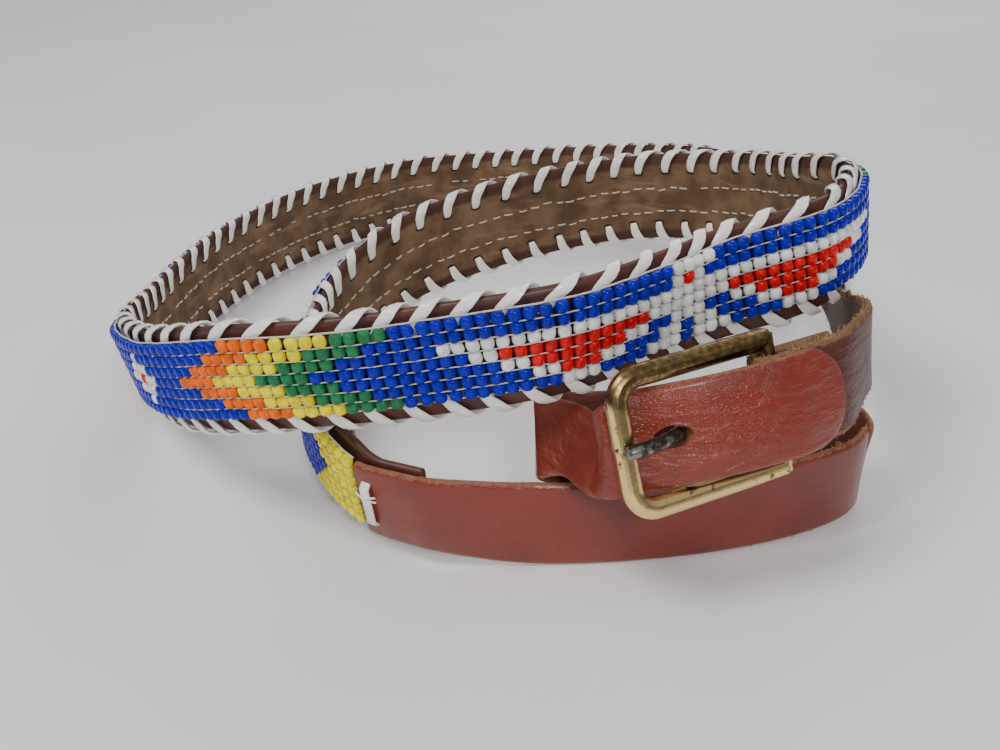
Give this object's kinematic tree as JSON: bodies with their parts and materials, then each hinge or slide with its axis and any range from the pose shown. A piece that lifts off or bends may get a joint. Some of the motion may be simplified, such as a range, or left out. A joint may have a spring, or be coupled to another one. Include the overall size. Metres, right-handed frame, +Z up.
{
  "type": "coiled beaded leather belt",
  "caption": "Coiled leather belt with a woven bead band, whip-laced edges, plain straps and a fastened single-prong buckle.",
  "frame": {"origin": "middle of the coil's space, at the height of the surface it rests on", "axes": "+Z up, +X to the right seen from the buckle's side, +Y away from the buckle's side"},
  "size_m": [0.1914, 0.237, 0.0715],
  "materials": {
    "band_leather": "suede inside, smooth dark edge outside",
    "strap_leather": "glossy, worn",
    "beads": "glossy opaque seed beads",
    "lace": "glossy",
    "brass": "polished, tarnished in places",
    "prong_metal": "worn, dark"
  },
  "bodies": {
    "root": {"leather_band": "band_leather", "bead_strip": "beads", "upper_lacing": "lace", "lower_lacing": "lace", "tongue_strap": "strap_leather", "buckle_strap": "strap_leather", "tongue_tie": "lace", "buckle_tie": "lace", "buckle_frame": "brass", "buckle_prong": "prong_metal"}
  },
  "joints": []
}
